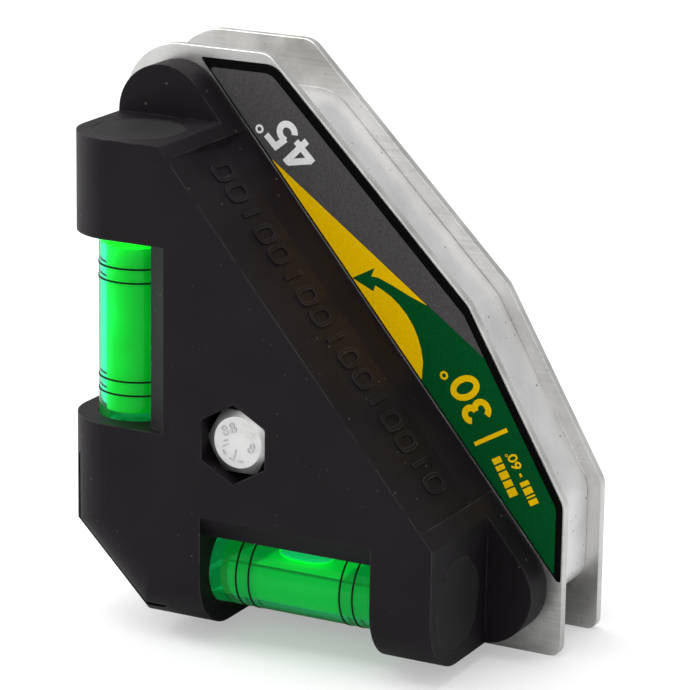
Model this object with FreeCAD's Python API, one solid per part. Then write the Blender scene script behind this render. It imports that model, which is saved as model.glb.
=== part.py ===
"""Welding magnet holder with two level vials.

Two steel pole plates sandwich an aluminium core that carries ferrite magnets.
A moulded housing on the front plate holds a vertical and a horizontal vial.
One M8 bolt clamps the stack and is tightened at the rear.

Frame: millimetres, +Z up, the housing faces -Y, and the origin is the bottom
centre of the bounding box, on the surface that the plates stand on.
"""
import FreeCAD, Part
import math
import os
from FreeCAD import Vector

os.makedirs("parts", exist_ok=True)

# ---- driving dimensions ---------------------------------------------------
PLATE_WIDTH = 103.0
PLATE_HEIGHT = 118.0
PLATE_THICKNESS = 2.1
PLATE_TOP_RADIUS = 13.0        # the corner where the left and top edges meet
PLATE_CORNER_RADIUS = 2.5
PLATE_TOP_RUN = 34.0           # straight top edge, left corner to the 45 degree edge
PLATE_30_RUN = 22.5            # width covered by the 30 degree edge
WELD_CHAMFER = 20.0            # the 90 degree corner is cut away for the weld

CORE_THICKNESS = 16.4
CORE_INSET_ANGLED = 3.0        # behind the 45, the 30 degree and the right edges
CORE_INSET_SQUARE = 10.0       # behind the left, bottom and top edges
CORE_CORNER_RADIUS = 5.0
MAGNET_CLEARANCE = 0.2
MAGNET_WALL = 4.0              # core left around each magnet
UPPER_MAGNET_WIDTH = 18.0
BOLT_WEB = 12.0                # core kept free of magnets around the bolt's axis
PIN_DIAMETER = 4.0
PIN_EDGE = 9.0                 # pin axis to the nearest plate edge

HOUSING_INSET = 3.2            # plates stand proud of the housing
HOUSING_RIGHT_MARGIN = 13.5    # plates reach this far past the housing's body
HOUSING_TOP_MARGIN = 13.8
HOUSING_DEPTH = 33.2
HOUSING_TOP_RUN = 24.2         # flat top of the vertical column
HOUSING_SIDE_RUN = 27.0        # flat right end of the horizontal arm
HOUSING_CHAMFER = 18.0
HOUSING_EDGE_RADIUS = 12.0     # front edges, concentric with the vials
FLANGE_THICKNESS = 7.7
TOP_TAB_RADIUS = 10.4
SIDE_TAB_RADIUS = 11.0
TROUGH_DEPTH = 1.5             # the long sloping side is slightly hollow
TROUGH_START = 3.2             # from the slope's upper end to the hollow
TROUGH_END_MARGIN = 4.1        # from the hollow to the slope's lower end
TROUGH_CLEAR = 5.0
HOUSING_WALL = 3.0
HOUSING_SKIN = 3.0
HOLLOW_RADIUS = 3.0            # upright corners of the hollows behind the front
PEG_DIAMETER = 5.0
TOP_PEG_DROP = 12.0
SIDE_PEG_INSET = 16.0

VIAL_INSET = 12.4              # vial axis, from the housing's sides and front
VIAL_RADIUS = 8.1
VIAL_WALL = 1.5
VIAL_LENGTH = 44.0
VIAL_CAP = 4.6
VIAL_BORE_CLEARANCE = 0.25
WINDOW_LENGTH = 38.7
WINDOW_REACH = 25.5            # window edge on the housing's faces, from the corner
WINDOW_BEVEL_DEPTH = 3.2
VERTICAL_WINDOW_DROP = 39.9    # window centre below the housing's top
VERTICAL_VIAL_DROP = 40.7      # vial centre below the housing's top
HORIZONTAL_VIAL_BACKSET = 32.9  # vial centre from the housing's right end
RING_OFFSETS = (10.4, 13.3)
RING_WIDTH = 0.4
RING_THICKNESS = 0.1

BUBBLE_LENGTH = 14.5           # lying under the top of the level barrel
BUBBLE_RADIUS = 2.0
GAS_CAP_HEIGHT = 1.8           # the same air, standing at the top of the upright barrel
GAS_CAP_RADIUS = 5.9
GAS_CAP_EDGE = 0.6
BUBBLE_CLEARANCE = 0.25
PLUG_LIP = 1.2                 # flush disc wider than the bore, each side
PLUG_FLANGE = 2.0
PLUG_WALL = 2.0

BOLT_FROM_LEFT = 41.6          # bolt axis, from the housing's left side
BOLT_ABOVE_BOTTOM = 42.0
BOLT_DIAMETER = 8.0
BOLT_STICKOUT = 3.9            # past the lock nut
BOLT_POINT = 1.0
HEAD_FLATS = 13.0
HEAD_HEIGHT = 5.3
HEAD_RECESS = 2.0
HEAD_CHAMFER = 0.35            # chamfer circle inside the flats
POCKET_CLEARANCE = 0.75
BOLT_CLEARANCE = 0.4
BOSS_RADIUS = 10.4
SLEEVE_DIAMETER = 13.0
WASHER_DIAMETER = 16.0
WASHER_THICKNESS = 1.6
NUT_HEIGHT = 8.0
NUT_HEX_HEIGHT = 6.0
NUT_COLLAR_STEP = 0.5
NUT_COLLAR_WALL = 0.8
INSERT_THICKNESS = 1.6

LABEL_THICKNESS = 0.2
LABEL_EDGE = 0.5
LABEL_TOP_EDGE = 2.2
LABEL_GAP = 0.4                # between the front label and the housing
LABEL_TOP_START = 5.0          # right of the top tab's centre
LABEL_LOW_END = 2.0            # above the side tab's centre

# ---- places worked out from them ------------------------------------------
STACK = HOUSING_DEPTH + 2 * PLATE_THICKNESS + CORE_THICKNESS
DEPTH = STACK + WASHER_THICKNESS + NUT_HEIGHT + BOLT_STICKOUT
BOLT_LENGTH = DEPTH - HEAD_RECESS - HEAD_HEIGHT
BOLT_HOLE = BOLT_DIAMETER + 2 * BOLT_CLEARANCE
FRONT = -DEPTH / 2
FLANGE_FRONT = FRONT + HOUSING_DEPTH - FLANGE_THICKNESS
FRONT_PLATE = FRONT + HOUSING_DEPTH
CORE_FRONT = FRONT_PLATE + PLATE_THICKNESS
CORE_BACK = CORE_FRONT + CORE_THICKNESS
REAR_FACE = CORE_BACK + PLATE_THICKNESS

LEFT = -PLATE_WIDTH / 2
RIGHT = PLATE_WIDTH / 2
TOP = PLATE_HEIGHT
KNEE_X = RIGHT - PLATE_30_RUN  # where the 45 and 30 degree edges meet
KNEE_Z = TOP - (KNEE_X - LEFT - PLATE_TOP_RUN)
BODY_LEFT = LEFT + HOUSING_INSET
BODY_BOTTOM = HOUSING_INSET
BODY_TOP = TOP - HOUSING_TOP_MARGIN
BODY_RIGHT = RIGHT - HOUSING_RIGHT_MARGIN
FAR = 3 * (PLATE_WIDTH + PLATE_HEIGHT)  # longer than anything in the part

BOLT_X = BODY_LEFT + BOLT_FROM_LEFT
BOLT_Z = BODY_BOTTOM + BOLT_ABOVE_BOTTOM
HEAD_SEAT = FRONT + HEAD_RECESS + HEAD_HEIGHT

AXIS_X = BODY_LEFT + VIAL_INSET
AXIS_Y = FRONT + VIAL_INSET
AXIS_Z = BODY_BOTTOM + VIAL_INSET
VERTICAL_MIDDLE = BODY_TOP - VERTICAL_VIAL_DROP
VERTICAL_WINDOW_MIDDLE = BODY_TOP - VERTICAL_WINDOW_DROP
HORIZONTAL_MIDDLE = BODY_RIGHT - HORIZONTAL_VIAL_BACKSET
BORE_RADIUS = VIAL_RADIUS + VIAL_BORE_CLEARANCE
PLUG_RADIUS = BORE_RADIUS + PLUG_LIP
VIAL_INNER = VIAL_RADIUS - VIAL_WALL

X_AXIS = Vector(1, 0, 0)
Y_AXIS = Vector(0, 1, 0)
Z_AXIS = Vector(0, 0, 1)
SIN_30 = math.sin(math.radians(30))
COS_30 = math.cos(math.radians(30))
ROOT_2 = math.sqrt(2)


# ---- helpers --------------------------------------------------------------
def rounded_wire(corners, place):
    """Closed outline of (a, b, radius) corners; place(a, b) gives a Vector."""
    edges = []
    count = len(corners)
    ends = []
    for i, (a, b, radius) in enumerate(corners):
        here = Vector(a, b, 0)
        back = Vector(*corners[i - 1][:2], 0) - here
        ahead = Vector(*corners[(i + 1) % count][:2], 0) - here
        if radius == 0:
            ends.append((here, None, here))
            continue
        half_turn = back.getAngle(ahead) / 2
        reach = radius / math.tan(half_turn)
        back.normalize()
        ahead.normalize()
        middle = (back + ahead).normalize()
        depth = radius / math.sin(half_turn) - radius
        ends.append((here + back * reach, here + middle * depth, here + ahead * reach))
    for i, (start, middle, end) in enumerate(ends):
        following = ends[(i + 1) % count][0]
        if middle is not None:
            arc = Part.Arc(*(place(p.x, p.y) for p in (start, middle, end)))
            edges.append(arc.toShape())
        if end.distanceToPoint(following) > 1e-6:
            edges.append(Part.makeLine(place(end.x, end.y), place(following.x, following.y)))
    return Part.Wire(edges)


def plate_prism(corners, y_from, y_to):
    """Extrude an outline of (x, z, radius) corners from y_from to y_to."""
    wire = rounded_wire(corners, lambda x, z: Vector(x, y_from, z))
    return Part.Face(wire).extrude(Vector(0, y_to - y_from, 0))


def bar_prism(corners, axis, start, end):
    """Extrude (side, y, radius) corners along X (side is Z) or Z (side is X)."""
    if axis == "x":
        wire = rounded_wire(corners, lambda side, y: Vector(start, y, side))
        return Part.Face(wire).extrude(Vector(end - start, 0, 0))
    wire = rounded_wire(corners, lambda side, y: Vector(side, y, start))
    return Part.Face(wire).extrude(Vector(0, 0, end - start))


def cylinder(radius, start, direction, length):
    return Part.makeCylinder(radius, length, start, direction)


def tube(outer, inner, start, direction, length):
    return cylinder(outer, start, direction, length).cut(
        cylinder(inner, start, direction, length))


def block(x_from, x_to, y_from, y_to, z_from, z_to):
    corner = Vector(x_from, y_from, z_from)
    return Part.makeBox(x_to - x_from, y_to - y_from, z_to - z_from, corner)


def hexagon(flats, y_from, y_to):
    """Hexagonal prism on the bolt axis, with corners straight up and down."""
    radius = flats / math.sqrt(3)
    corners = []
    for step in range(6):
        angle = math.radians(90 + 60 * step)
        corners.append((BOLT_X + radius * math.cos(angle),
                        BOLT_Z + radius * math.sin(angle), 0))
    return plate_prism(corners, y_from, y_to)


def on_bolt(y):
    return Vector(BOLT_X, y, BOLT_Z)


def bolt_hole(diameter):
    return cylinder(diameter / 2, on_bolt(FRONT), Y_AXIS, DEPTH)


def save(name, shape):
    shape.exportStep("parts/" + name + ".step")


# ---- outlines in the XZ plane ---------------------------------------------
def plate_corners(inset_square, inset_top, inset_angled, radius, top_radius):
    """The plates' outline moved inward by the given amounts."""
    left = LEFT + inset_square
    bottom = inset_square
    top = TOP - inset_top
    right = RIGHT - inset_angled
    line_45 = KNEE_X + KNEE_Z - inset_angled * ROOT_2
    # both angled edges move inward, so their corner moves along its bisector
    slide = inset_angled * math.tan(math.radians(7.5))
    knee_x = KNEE_X - (inset_angled - slide) / ROOT_2
    knee_z = KNEE_Z - (inset_angled + slide) / ROOT_2
    side_z = knee_z - (right - knee_x) * COS_30 / SIN_30
    chamfer = WELD_CHAMFER + inset_square * (ROOT_2 - 2)
    return [
        (left + chamfer, bottom, 2 * radius),
        (right, bottom, radius),
        (right, side_z, 2 * radius),
        (knee_x, knee_z, 2 * radius),
        (line_45 - top, top, 2 * radius),
        (left, top, top_radius),
        (left, bottom + chamfer, 2 * radius),
    ]


SLOPE_FROM = Vector(BODY_LEFT + HOUSING_TOP_RUN, 0, BODY_TOP)
SLOPE_TO = Vector(BODY_RIGHT, 0, BODY_BOTTOM + HOUSING_SIDE_RUN)
SLOPE = Vector(SLOPE_TO - SLOPE_FROM).normalize()
SLOPE_NORMAL = Vector(-SLOPE.z, 0, SLOPE.x)


def slope_point(along, outward, y):
    """A point measured along the sloping side from the column corner."""
    point = SLOPE_FROM + SLOPE * along + SLOPE_NORMAL * outward
    return Vector(point.x, y, point.z)


def body_corners():
    return [
        (BODY_LEFT + HOUSING_CHAMFER, BODY_BOTTOM, 0),
        (BODY_RIGHT, BODY_BOTTOM, 0),
        (SLOPE_TO.x, SLOPE_TO.z, 1.0),
        (SLOPE_FROM.x, SLOPE_FROM.z, 1.0),
        (BODY_LEFT, BODY_TOP, 0),
        (BODY_LEFT, BODY_BOTTOM + HOUSING_CHAMFER, 0),
    ]


def tab_centres():
    """Centres of the round tabs, which touch the sloping side's line."""
    offset = SLOPE_FROM.dot(SLOPE_NORMAL)
    top_x = BODY_LEFT + TOP_TAB_RADIUS
    top_z = (offset - TOP_TAB_RADIUS - top_x * SLOPE_NORMAL.x) / SLOPE_NORMAL.z
    side_z = BODY_BOTTOM + SIDE_TAB_RADIUS
    side_x = (offset - SIDE_TAB_RADIUS - side_z * SLOPE_NORMAL.z) / SLOPE_NORMAL.x
    return Vector(top_x, 0, top_z), Vector(side_x, 0, side_z)


def flange_wire(y):
    """Flange outline: the body's outline with a round tab at each end."""
    top_centre, side_centre = tab_centres()
    top_arc = [Vector(BODY_LEFT, 0, top_centre.z),
               top_centre + (SLOPE_NORMAL - X_AXIS).normalize() * TOP_TAB_RADIUS,
               top_centre + SLOPE_NORMAL * TOP_TAB_RADIUS]
    side_arc = [side_centre + SLOPE_NORMAL * SIDE_TAB_RADIUS,
                side_centre + (SLOPE_NORMAL - Z_AXIS).normalize() * SIDE_TAB_RADIUS,
                Vector(side_centre.x, 0, BODY_BOTTOM)]
    low = Vector(BODY_LEFT + HOUSING_CHAMFER, 0, BODY_BOTTOM)
    high = Vector(BODY_LEFT, 0, BODY_BOTTOM + HOUSING_CHAMFER)
    lift = Vector(0, y, 0)
    return Part.Wire([
        Part.Arc(*(p + lift for p in top_arc)).toShape(),
        Part.makeLine(top_arc[2] + lift, side_arc[0] + lift),
        Part.Arc(*(p + lift for p in side_arc)).toShape(),
        Part.makeLine(side_arc[2] + lift, low + lift),
        Part.makeLine(low + lift, high + lift),
        Part.makeLine(high + lift, top_arc[0] + lift),
    ])


# ---- the housing ----------------------------------------------------------
def rounded_section(near, far):
    """Section of a bar whose front edge nearest the corner is rounded."""
    back = FRONT + HOUSING_DEPTH
    return [(near, FRONT, HOUSING_EDGE_RADIUS), (far, FRONT, 0),
            (far, back, 0), (near, back, 0)]


def chamfer_bar():
    """A long bar behind the cut corner, rounded along its front edge."""
    bar = bar_prism(rounded_section(0, FAR), "x", -FAR, FAR)
    bar.rotate(Vector(0, 0, 0), Y_AXIS, 45)
    middle = Vector(BODY_LEFT + HOUSING_CHAMFER / 2, 0, BODY_BOTTOM + HOUSING_CHAMFER / 2)
    bar.translate(middle)
    return bar


def window_section(near):
    """Opening over one vial: flared mouths on two faces and a round seat."""
    axis = near + VIAL_INSET
    mouth = WINDOW_REACH
    deep = VIAL_INSET + BORE_RADIUS
    outside = HOUSING_EDGE_RADIUS
    return [
        (near - outside, FRONT - outside, 0),
        (near + mouth, FRONT - outside, 0),
        (near + mouth, FRONT, 0),
        (axis + BORE_RADIUS, FRONT + WINDOW_BEVEL_DEPTH, 0),
        (axis + BORE_RADIUS, FRONT + deep, BORE_RADIUS - 0.01),
        (near + WINDOW_BEVEL_DEPTH, FRONT + deep, 0),
        (near, FRONT + mouth, 0),
        (near - outside, FRONT + mouth, 0),
    ]


def windows():
    half = WINDOW_LENGTH / 2
    upright = bar_prism(window_section(BODY_LEFT), "z",
                        VERTICAL_WINDOW_MIDDLE - half, VERTICAL_WINDOW_MIDDLE + half)
    level = bar_prism(window_section(BODY_BOTTOM), "x",
                      HORIZONTAL_MIDDLE - half, HORIZONTAL_MIDDLE + half)
    return [upright, level]


def vial_bores():
    """Bores for the vials, open at the housing's ends, with plug recesses."""
    half = VIAL_LENGTH / 2
    cuts = []
    for start, direction, face in (
            (Vector(AXIS_X, AXIS_Y, VERTICAL_MIDDLE - half), Z_AXIS,
             Vector(AXIS_X, AXIS_Y, BODY_TOP)),
            (Vector(HORIZONTAL_MIDDLE - half, AXIS_Y, AXIS_Z), X_AXIS,
             Vector(BODY_RIGHT, AXIS_Y, AXIS_Z))):
        depth = (face - start).Length
        cuts.append(cylinder(BORE_RADIUS, start, direction, depth + 1))
        recess = face - direction * PLUG_FLANGE
        cuts.append(cylinder(PLUG_RADIUS, recess, direction, PLUG_FLANGE + 1))
    return cuts


def trough():
    """Shallow hollow along the sloping side, deepest at the flange."""
    section = [(FRONT, 0), (FLANGE_FRONT, -TROUGH_DEPTH), (FRONT_PLATE, 0),
               (FRONT_PLATE, TROUGH_CLEAR), (FRONT, TROUGH_CLEAR)]
    points = [slope_point(TROUGH_START, outward, y) for y, outward in section]
    face = Part.Face(Part.makePolygon(points + points[:1]))
    length = (SLOPE_TO - SLOPE_FROM).Length - TROUGH_START - TROUGH_END_MARGIN
    return face.extrude(SLOPE * length)


def cavity():
    """Hollow behind the front wall, open towards the front plate."""
    near_x = BODY_LEFT + WINDOW_REACH + HOUSING_WALL
    near_z = BODY_BOTTOM + WINDOW_REACH + HOUSING_WALL
    inner = SLOPE_FROM.dot(SLOPE_NORMAL) - HOUSING_WALL - TROUGH_DEPTH
    far_z = (inner - near_x * SLOPE_NORMAL.x) / SLOPE_NORMAL.z
    far_x = (inner - near_z * SLOPE_NORMAL.z) / SLOPE_NORMAL.x
    corners = [(x, z, HOLLOW_RADIUS) for x, z in
               ((near_x, near_z), (far_x, near_z), (near_x, far_z))]
    hollow = plate_prism(corners, FRONT + HOUSING_SKIN, FRONT_PLATE + 1)
    return hollow.cut(cylinder(BOSS_RADIUS, on_bolt(FRONT), Y_AXIS, DEPTH))


def corner_cavity():
    """Hollow behind the solid corner between the two windows, inside its chamfer."""
    left = BODY_LEFT + HOUSING_WALL
    right = BODY_LEFT + WINDOW_REACH
    bottom = BODY_BOTTOM + HOUSING_WALL
    vial_end = BODY_TOP - VERTICAL_VIAL_DROP - VIAL_LENGTH / 2 - VIAL_BORE_CLEARANCE
    top = vial_end - HOUSING_WALL
    slant = BODY_LEFT + BODY_BOTTOM + HOUSING_CHAMFER + HOUSING_WALL * ROOT_2
    corners = [(left, top, HOLLOW_RADIUS), (left, slant - left, HOLLOW_RADIUS),
               (slant - bottom, bottom, HOLLOW_RADIUS), (right, bottom, HOLLOW_RADIUS),
               (right, top, HOLLOW_RADIUS)]
    return plate_prism(corners, FRONT + HOUSING_SKIN, FRONT_PLATE + 1)


def peg_places():
    """Two pegs on the housing's back stop it turning on the bolt."""
    return [(BODY_LEFT + VIAL_INSET, BODY_TOP - TOP_PEG_DROP),
            (BODY_RIGHT - SIDE_PEG_INSET, BODY_BOTTOM + VIAL_INSET)]


def level_housing():
    body = plate_prism(body_corners(), FRONT, FLANGE_FRONT)
    flange = Part.Face(flange_wire(FLANGE_FRONT)).extrude(Vector(0, FLANGE_THICKNESS, 0))
    solid = body.fuse(flange)
    upright = bar_prism(rounded_section(BODY_LEFT, FAR), "z", -FAR, FAR)
    level = bar_prism(rounded_section(BODY_BOTTOM, FAR), "x", -FAR, FAR)
    for limit in (upright, level, chamfer_bar()):
        solid = solid.common(limit)
    for cut in windows() + vial_bores() + [trough(), cavity(), corner_cavity()]:
        solid = solid.cut(cut)
    pocket_flats = HEAD_FLATS + 2 * POCKET_CLEARANCE
    solid = solid.cut(hexagon(pocket_flats, FRONT, HEAD_SEAT))
    solid = solid.cut(bolt_hole(BOLT_HOLE))
    for x, z in peg_places():
        peg = cylinder(PEG_DIAMETER / 2, Vector(x, FRONT_PLATE - 1, z), Y_AXIS,
                       1 + PLATE_THICKNESS)
        solid = solid.fuse(peg)
    return solid.removeSplitter()


# ---- magnet stack ---------------------------------------------------------
def pin_places():
    """Dowel pins that keep the two plates and the core in line."""
    edge = CORE_INSET_SQUARE + PIN_EDGE
    return [(LEFT + edge - MAGNET_WALL, TOP - edge),
            (RIGHT - PIN_EDGE, edge - MAGNET_WALL),
            (BOLT_X + MAGNET_WALL, BOLT_Z + 2 * PIN_EDGE)]


def pole_plate(y_from, with_pegs):
    corners = plate_corners(0, 0, 0, PLATE_CORNER_RADIUS, PLATE_TOP_RADIUS)
    plate = plate_prism(corners, y_from, y_from + PLATE_THICKNESS)
    plate = plate.cut(bolt_hole(BOLT_HOLE))
    holes = [(x, z, PIN_DIAMETER) for x, z in pin_places()]
    if with_pegs:
        holes += [(x, z, PEG_DIAMETER) for x, z in peg_places()]
    for x, z, diameter in holes:
        start = Vector(x, y_from, z)
        plate = plate.cut(cylinder(diameter / 2, start, Y_AXIS, PLATE_THICKNESS))
    return plate


def magnet_blocks():
    """Name, left, right, bottom and top of each ferrite block."""
    wall = CORE_INSET_ANGLED + MAGNET_WALL
    near = CORE_INSET_SQUARE + MAGNET_WALL
    right_of_bolt = BOLT_X + BOLT_WEB
    above_lower = BOLT_Z - MAGNET_WALL
    # the middle block is a square that just clears both angled edges
    room_45 = (KNEE_X + KNEE_Z - wall * ROOT_2 - right_of_bolt - above_lower) / 2
    room_30 = (KNEE_X * COS_30 + KNEE_Z * SIN_30 - wall - right_of_bolt * COS_30
               - above_lower * SIN_30) / (COS_30 + SIN_30)
    middle = min(room_45, room_30)
    upper_left = LEFT + near + 2 * MAGNET_WALL
    upper_right = upper_left + UPPER_MAGNET_WIDTH
    upper_top = min(TOP - near, KNEE_X + KNEE_Z - wall * ROOT_2 - upper_right)
    return [
        ("magnet_upper", upper_left, upper_right, BOLT_Z + BOLT_WEB, upper_top),
        ("magnet_middle", right_of_bolt, right_of_bolt + middle,
         above_lower, above_lower + middle),
        ("magnet_lower", right_of_bolt, RIGHT - PIN_EDGE - MAGNET_WALL,
         near, above_lower - MAGNET_WALL),
        ("magnet_corner", LEFT + near + WELD_CHAMFER / 2, right_of_bolt - MAGNET_WALL,
         near, BOLT_Z - BOLT_WEB),
    ]


def magnet(x_from, x_to, z_from, z_to, grow):
    return block(x_from - grow, x_to + grow, CORE_FRONT, CORE_BACK,
                 z_from - grow, z_to + grow)


def core_frame():
    corners = plate_corners(CORE_INSET_SQUARE, CORE_INSET_SQUARE, CORE_INSET_ANGLED,
                            CORE_CORNER_RADIUS, 2 * CORE_CORNER_RADIUS)
    core = plate_prism(corners, CORE_FRONT, CORE_BACK)
    core = core.cut(bolt_hole(SLEEVE_DIAMETER))
    for _, *place in magnet_blocks():
        core = core.cut(magnet(*place, MAGNET_CLEARANCE))
    for x, z in pin_places():
        start = Vector(x, CORE_FRONT, z)
        core = core.cut(cylinder(PIN_DIAMETER / 2, start, Y_AXIS, CORE_THICKNESS))
    return core


def dowel_pins():
    length = CORE_THICKNESS + 2 * PLATE_THICKNESS
    return Part.makeCompound([
        cylinder(PIN_DIAMETER / 2, Vector(x, FRONT_PLATE, z), Y_AXIS, length)
        for x, z in pin_places()])


# ---- the bolt -------------------------------------------------------------
def hex_bolt():
    head = hexagon(HEAD_FLATS, HEAD_SEAT - HEAD_HEIGHT, HEAD_SEAT)
    # a 30 degree cone takes the corners off the head
    circle = HEAD_FLATS / 2 - HEAD_CHAMFER
    cone = Part.makeCone(circle, circle + HEAD_HEIGHT * COS_30 / SIN_30, HEAD_HEIGHT,
                         on_bolt(HEAD_SEAT - HEAD_HEIGHT), Y_AXIS)
    radius = BOLT_DIAMETER / 2
    straight = BOLT_LENGTH - BOLT_POINT
    shank = cylinder(radius, on_bolt(HEAD_SEAT), Y_AXIS, straight)
    point = Part.makeCone(radius, radius - BOLT_POINT, BOLT_POINT,
                          on_bolt(HEAD_SEAT + straight), Y_AXIS)
    return head.common(cone).fuse(shank).fuse(point).removeSplitter()


def bolt_sleeve():
    return tube(SLEEVE_DIAMETER / 2, BOLT_HOLE / 2, on_bolt(CORE_FRONT), Y_AXIS,
                CORE_THICKNESS)


def rear_washer():
    return tube(WASHER_DIAMETER / 2, BOLT_HOLE / 2, on_bolt(REAR_FACE), Y_AXIS,
                WASHER_THICKNESS)


def nut_ring_radius():
    return HEAD_FLATS / 2 - NUT_COLLAR_STEP - NUT_COLLAR_WALL


def lock_nut():
    """Hexagon with a round collar that holds the nylon ring."""
    seat = REAR_FACE + WASHER_THICKNESS
    nut = hexagon(HEAD_FLATS, seat, seat + NUT_HEX_HEIGHT)
    collar = cylinder(HEAD_FLATS / 2 - NUT_COLLAR_STEP, on_bolt(seat), Y_AXIS, NUT_HEIGHT)
    nut = nut.fuse(collar).removeSplitter()
    nut = nut.cut(bolt_hole(BOLT_DIAMETER))
    ring_seat = on_bolt(seat + NUT_HEIGHT - INSERT_THICKNESS)
    return nut.cut(cylinder(nut_ring_radius(), ring_seat, Y_AXIS, INSERT_THICKNESS))


def lock_nut_insert():
    start = on_bolt(REAR_FACE + WASHER_THICKNESS + NUT_HEIGHT - INSERT_THICKNESS)
    return tube(nut_ring_radius(), BOLT_DIAMETER / 2, start, Y_AXIS, INSERT_THICKNESS)


# ---- vials ----------------------------------------------------------------
def level_bubble(centre):
    """Round-ended bubble that lies along X."""
    straight = BUBBLE_LENGTH - 2 * BUBBLE_RADIUS
    start = centre - X_AXIS * (straight / 2)
    body = cylinder(BUBBLE_RADIUS, start, X_AXIS, straight)
    for end in (start, start + X_AXIS * straight):
        body = body.fuse(Part.makeSphere(BUBBLE_RADIUS, end))
    return body.removeSplitter()


def gas_cap(top):
    """Flat bubble with rounded edges, under the upper cap of the upright vial."""
    disc = cylinder(GAS_CAP_RADIUS, top - Z_AXIS * GAS_CAP_HEIGHT, Z_AXIS, GAS_CAP_HEIGHT)
    rims = [edge for edge in disc.Edges if edge.Curve.TypeId == "Part::GeomCircle"]
    return disc.makeFillet(GAS_CAP_EDGE, rims)


def vial_pieces(name, centre, direction, race_radius, race_lift, cap_names):
    """Barrel, caps, liquid and gauge rings of one vial."""
    half = VIAL_LENGTH / 2
    start = centre - direction * half
    liquid_half = half - VIAL_CAP
    liquid_start = centre - direction * liquid_half
    barrel = tube(VIAL_RADIUS, VIAL_INNER, start, direction, VIAL_LENGTH)
    save(name + "_vial_barrel", barrel)
    for cap_name, cap_start in zip(cap_names, (start, centre + direction * liquid_half)):
        cap = cylinder(VIAL_INNER, cap_start, direction, VIAL_CAP)
        save(name + "_vial_" + cap_name + "_cap", cap)
    # the liquid leaves a channel, as wide as the bubble, along its whole length
    race = cylinder(race_radius, liquid_start + race_lift, direction, 2 * liquid_half)
    liquid = cylinder(VIAL_INNER, liquid_start, direction, 2 * liquid_half).cut(race)
    save(name + "_vial_liquid", liquid)
    rings = []
    for offset in RING_OFFSETS:
        for side in (-offset, offset):
            ring_start = centre + direction * (side - RING_WIDTH / 2)
            rings.append(tube(VIAL_RADIUS + RING_THICKNESS, VIAL_RADIUS, ring_start,
                              direction, RING_WIDTH))
    save(name + "_vial_rings", Part.makeCompound(rings))


def vertical_vial():
    centre = Vector(AXIS_X, AXIS_Y, VERTICAL_MIDDLE)
    vial_pieces("vertical", centre, Z_AXIS, GAS_CAP_RADIUS + BUBBLE_CLEARANCE,
                Vector(0, 0, 0), ("lower", "upper"))
    top = VIAL_LENGTH / 2 - VIAL_CAP - BUBBLE_CLEARANCE
    save("vertical_bubble", gas_cap(centre + Z_AXIS * top))


def horizontal_vial():
    centre = Vector(HORIZONTAL_MIDDLE, AXIS_Y, AXIS_Z)
    rise = Z_AXIS * (VIAL_INNER - BUBBLE_RADIUS - 2 * BUBBLE_CLEARANCE)
    vial_pieces("horizontal", centre, X_AXIS, BUBBLE_RADIUS + BUBBLE_CLEARANCE,
                rise, ("left", "right"))
    save("horizontal_bubble", level_bubble(centre + rise))


def bore_plug(face, direction, depth):
    """Flush disc with a hollow stem that reaches down to the vial."""
    disc = cylinder(PLUG_RADIUS, face - direction * PLUG_FLANGE, direction, PLUG_FLANGE)
    stem_start = face - direction * depth
    stem = tube(VIAL_RADIUS, VIAL_RADIUS - PLUG_WALL, stem_start, direction,
                depth - PLUG_FLANGE)
    return disc.fuse(stem).removeSplitter()


# ---- labels ---------------------------------------------------------------
def front_label():
    """Strip of the front plate that the housing leaves free."""
    sheet = plate_prism(
        plate_corners(LABEL_EDGE, LABEL_TOP_EDGE, LABEL_EDGE, PLATE_CORNER_RADIUS,
                      PLATE_TOP_RADIUS - LABEL_TOP_EDGE),
        FRONT_PLATE - LABEL_THICKNESS, FRONT_PLATE)
    # everything on the housing's side of the slope line goes, and the ends
    # stop short of the round tabs
    corners = [slope_point(-FAR, LABEL_GAP, 0), slope_point(FAR, LABEL_GAP, 0),
               slope_point(FAR, -FAR, 0), slope_point(-FAR, -FAR, 0)]
    behind = plate_prism([(p.x, p.z, 0) for p in corners], FRONT, CORE_FRONT)
    top_centre, side_centre = tab_centres()
    top_end = block(-FAR, top_centre.x + LABEL_TOP_START, FRONT, CORE_FRONT, 0, FAR)
    low_end = block(-FAR, FAR, FRONT, CORE_FRONT, 0, side_centre.z + LABEL_LOW_END)
    return sheet.cut(behind).cut(top_end).cut(low_end)


def rear_label():
    sheet = plate_prism(
        plate_corners(LABEL_TOP_EDGE, LABEL_TOP_EDGE, LABEL_TOP_EDGE,
                      PLATE_CORNER_RADIUS, PLATE_TOP_RADIUS - LABEL_TOP_EDGE),
        REAR_FACE, REAR_FACE + LABEL_THICKNESS)
    opening = cylinder(WASHER_DIAMETER / 2 + LABEL_EDGE, on_bolt(REAR_FACE), Y_AXIS,
                       LABEL_THICKNESS)
    return sheet.cut(opening)


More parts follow.
